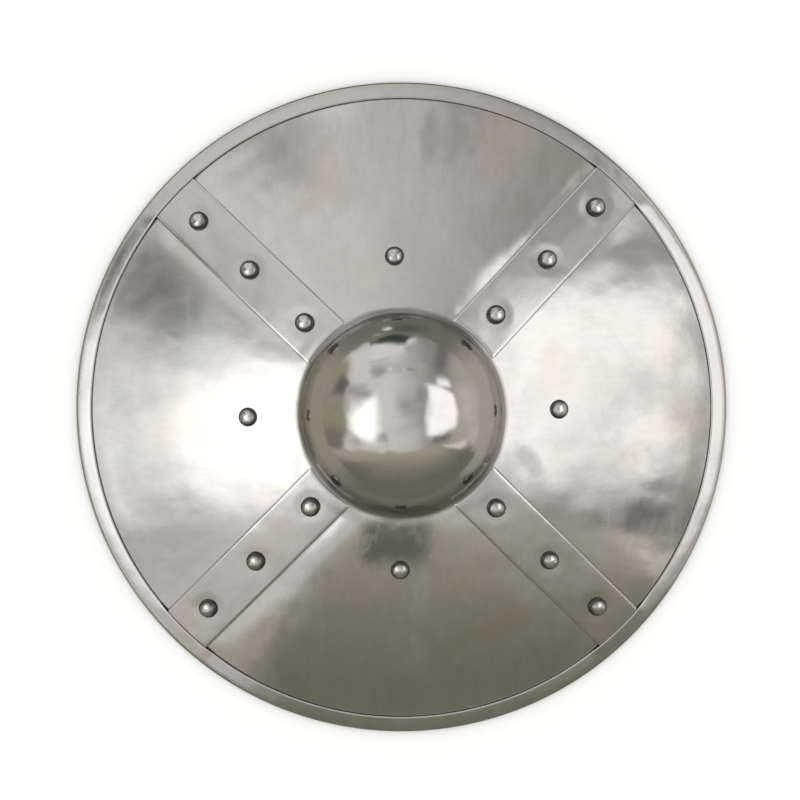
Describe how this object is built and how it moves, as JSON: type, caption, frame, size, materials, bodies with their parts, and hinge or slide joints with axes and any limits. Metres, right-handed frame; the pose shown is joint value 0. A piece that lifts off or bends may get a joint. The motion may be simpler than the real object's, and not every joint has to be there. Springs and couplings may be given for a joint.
{
  "type": "buckler shield",
  "caption": "Round dished steel buckler with a raised hollow boss, riveted diagonal bands, a folded rim binding and a hand grip across the back of the boss.",
  "frame": {"origin": "under the centre of the boss, on the surface that the rim lies on", "axes": "+Z out of the boss, +Y along the grip bar"},
  "size_m": [0.4572, 0.4572, 0.1015],
  "materials": {
    "face_steel": "polished bare steel with faint brushing, smudges and fine scratches",
    "rim_steel": "satin bare steel, brushed along the strip",
    "band_steel": "satin polished bare steel, brushed along the band",
    "rivet_steel": "polished domes, darker at the foot",
    "grip_steel": "dull mill-finish steel",
    "grip_leather": "dark brown, worn matt"
  },
  "bodies": {
    "root": {"face_plate": "face_steel", "rim_binding": "rim_steel", "band_north_east": "band_steel", "band_north_west": "band_steel", "band_south_west": "band_steel", "band_south_east": "band_steel", "rivet_north_east_inner": "rivet_steel", "rivet_north_east_middle": "rivet_steel", "rivet_north_east_outer": "rivet_steel", "rivet_north_west_inner": "rivet_steel", "rivet_north_west_middle": "rivet_steel", "rivet_north_west_outer": "rivet_steel", "rivet_south_west_inner": "rivet_steel", "rivet_south_west_middle": "rivet_steel", "rivet_south_west_outer": "rivet_steel", "rivet_south_east_inner": "rivet_steel", "rivet_south_east_middle": "rivet_steel", "rivet_south_east_outer": "rivet_steel", "rivet_north": "rivet_steel", "rivet_east": "rivet_steel", "rivet_south": "rivet_steel", "rivet_west": "rivet_steel", "grip_bar": "grip_steel", "grip_wrap": "grip_leather"}
  },
  "joints": []
}
